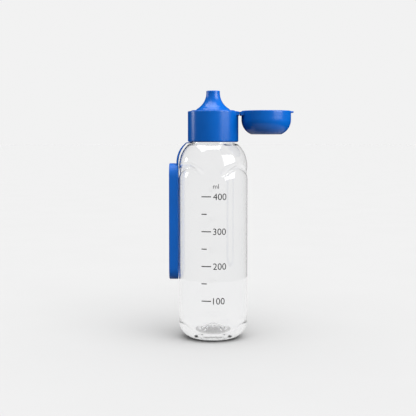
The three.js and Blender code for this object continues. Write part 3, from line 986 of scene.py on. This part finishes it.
def floor():
    """A wide pale floor, the part of it that reflections show and the part seen through the base."""
    ground = floor_disc("floor", GROUND_R, 0)
    near = floor_disc("floor_near", NEAR_R, -NEAR_DROP)
    under = floor_disc("floor_under", UNDER_R, UNDER_LIFT)
    ground.data.materials.append(floor_material("floor", FLOOR_PALE, 0))
    near.data.materials.append(floor_material("floor_near", NEAR_PALE, 0))
    # light that comes down through the clear bottle isn't traced, so the disc under it glows instead
    under.data.materials.append(floor_material("floor_under", NEAR_PALE, UNDER_GLOW))
    for disc in (ground, near, under):
        disc.visible_camera = disc is ground
        disc.visible_shadow = disc is ground
        disc.visible_glossy = disc is near
        disc.visible_transmission = disc is under
        disc.visible_diffuse = False
    return [ground, under]


def studio_world():
    """An even pale backdrop, with a fill light that is bright from above and dim from below."""
    world = bpy.data.worlds.new("studio")
    world.use_nodes = True
    nodes, links = world.node_tree.nodes, world.node_tree.links
    coordinates = node(nodes, "ShaderNodeTexCoord")
    parts = node(nodes, "ShaderNodeSeparateXYZ")
    links.new(coordinates.outputs["Generated"], parts.inputs["Vector"])
    seen, fill = node(nodes, "ShaderNodeBackground", Color=grey(STUDIO)), nodes["Background"]
    low, high = grey(FILL_LOW), grey(FILL_HIGH)
    links.new(ramp(nodes, links, parts.outputs["Z"], low, high, 0.0, FILL_RISE), fill.inputs["Color"])
    rays = node(nodes, "ShaderNodeLightPath")
    mix = node(nodes, "ShaderNodeMixShader")
    links.new(rays.outputs["Is Diffuse Ray"], mix.inputs[0])
    links.new(seen.outputs[0], mix.inputs[1])
    links.new(fill.outputs[0], mix.inputs[2])
    links.new(mix.outputs[0], nodes["World Output"].inputs["Surface"])
    world.cycles_visibility.glossy = False
    bpy.context.scene.world = world


def linked(name, objects, state):
    """A collection that tells a light to take in only these objects, or every object but these."""
    members = bpy.data.collections.new(name)
    for obj in objects:
        members.objects.link(obj)
    for member in members.collection_objects:
        member.light_linking.link_state = state
    return members


def light_reaches(lamp, objects, state):
    """The lamp lights only these objects, or with EXCLUDE every object but these."""
    lamp.light_linking.receiver_collection = linked(lamp.name + "_receivers", objects, state)


def light_passes(lamp, obj):
    """This object doesn't block the lamp's light."""
    lamp.light_linking.blocker_collection = linked(lamp.name + "_blockers", [obj], "EXCLUDE")


def direction(azimuth, elevation):
    """Away from the bottle. Azimuth 0 is the camera's side, positive towards +X."""
    a, e = math.radians(azimuth), math.radians(elevation)
    return Vector((math.sin(a) * math.cos(e), -math.cos(a) * math.cos(e), math.sin(e)))


def softbox(name, azimuth, elevation, size, watts):
    """A soft rectangular light that faces the bottle."""
    away = direction(azimuth, elevation)
    light = bpy.data.lights.new(name, "AREA")
    light.shape = "RECTANGLE"
    light.size, light.size_y = size
    light.energy = watts
    lamp = bpy.data.objects.new(name, light)
    lamp.location = AXIS + Vector((0, 0, LAMP_AIM_Z)) + away * LAMP_AWAY
    lamp.rotation_euler = away.to_track_quat("Z", "Y").to_euler()
    lamp.visible_camera = False
    lamp.visible_transmission = False
    bpy.context.scene.collection.objects.link(lamp)
    return lamp


def sun(name, azimuth, elevation, angle, strength):
    light = bpy.data.lights.new(name, "SUN")
    light.energy = strength
    light.angle = math.radians(angle)
    lamp = bpy.data.objects.new(name, light)
    lamp.rotation_euler = direction(azimuth, elevation).to_track_quat("Z", "Y").to_euler()
    lamp.visible_glossy = False
    bpy.context.scene.collection.objects.link(lamp)
    return lamp


def camera():
    data = bpy.data.cameras.new("camera")
    data.sensor_width = 36
    data.lens = LENS
    data.shift_y = CAMERA_SHIFT
    data.clip_start, data.clip_end = 0.01, 200
    cam = bpy.data.objects.new("camera", data)
    cam.location = AXIS + Vector((CAMERA_SIDE, -CAMERA_BACK, CAP[0].z))
    cam.rotation_euler = (math.radians(90 - CAMERA_DOWN), 0, 0)
    bpy.context.scene.collection.objects.link(cam)
    bpy.context.scene.camera = cam


def lights(floors, shell, strap):
    """The studio's softboxes, a ring of lights for the shell's edges, one for the strap, and a floor sun."""
    for name, azimuth, elevation, size, watts in (
        ("key", 55, 22, (0.9, 0.7), 16.5),
        ("overhead_panel", -90, 82, (1.05, 1.2), 18),
        ("rim", -103, 12, (0.3, 0.4), 3),
        ("side", 88, 28, (0.7, 0.7), 4),
    ):
        lamp = softbox(name, azimuth, elevation, size, watts)
        lamp.visible_glossy = name != "side"
        light_reaches(lamp, floors, "EXCLUDE")
    for k in range(EDGE_LAMPS):
        edge = softbox(f"edge_{k}", 360 / EDGE_LAMPS * k + 30, 0, (1.39, 1.2), 0.5)
        light_reaches(edge, [shell], "INCLUDE")
    through = softbox("strap_side", 60, 5, (0.8, 0.8), 9)
    through.visible_glossy = False
    light_reaches(through, strap, "INCLUDE")
    light_passes(through, shell)
    light_reaches(sun("front_sun", 25, 60, 70, SUN_STRENGTH), floors, "INCLUDE")


camera()
studio_world()
lights(floor(), SHELL, STRAP)
SCENE = bpy.context.scene
SCENE.view_settings.view_transform = "Standard"
SCENE.cycles.caustics_refractive = False
for kind in ("max_bounces", "glossy_bounces", "transmission_bounces", "transparent_max_bounces"):
    setattr(SCENE.cycles, kind, BOUNCES)
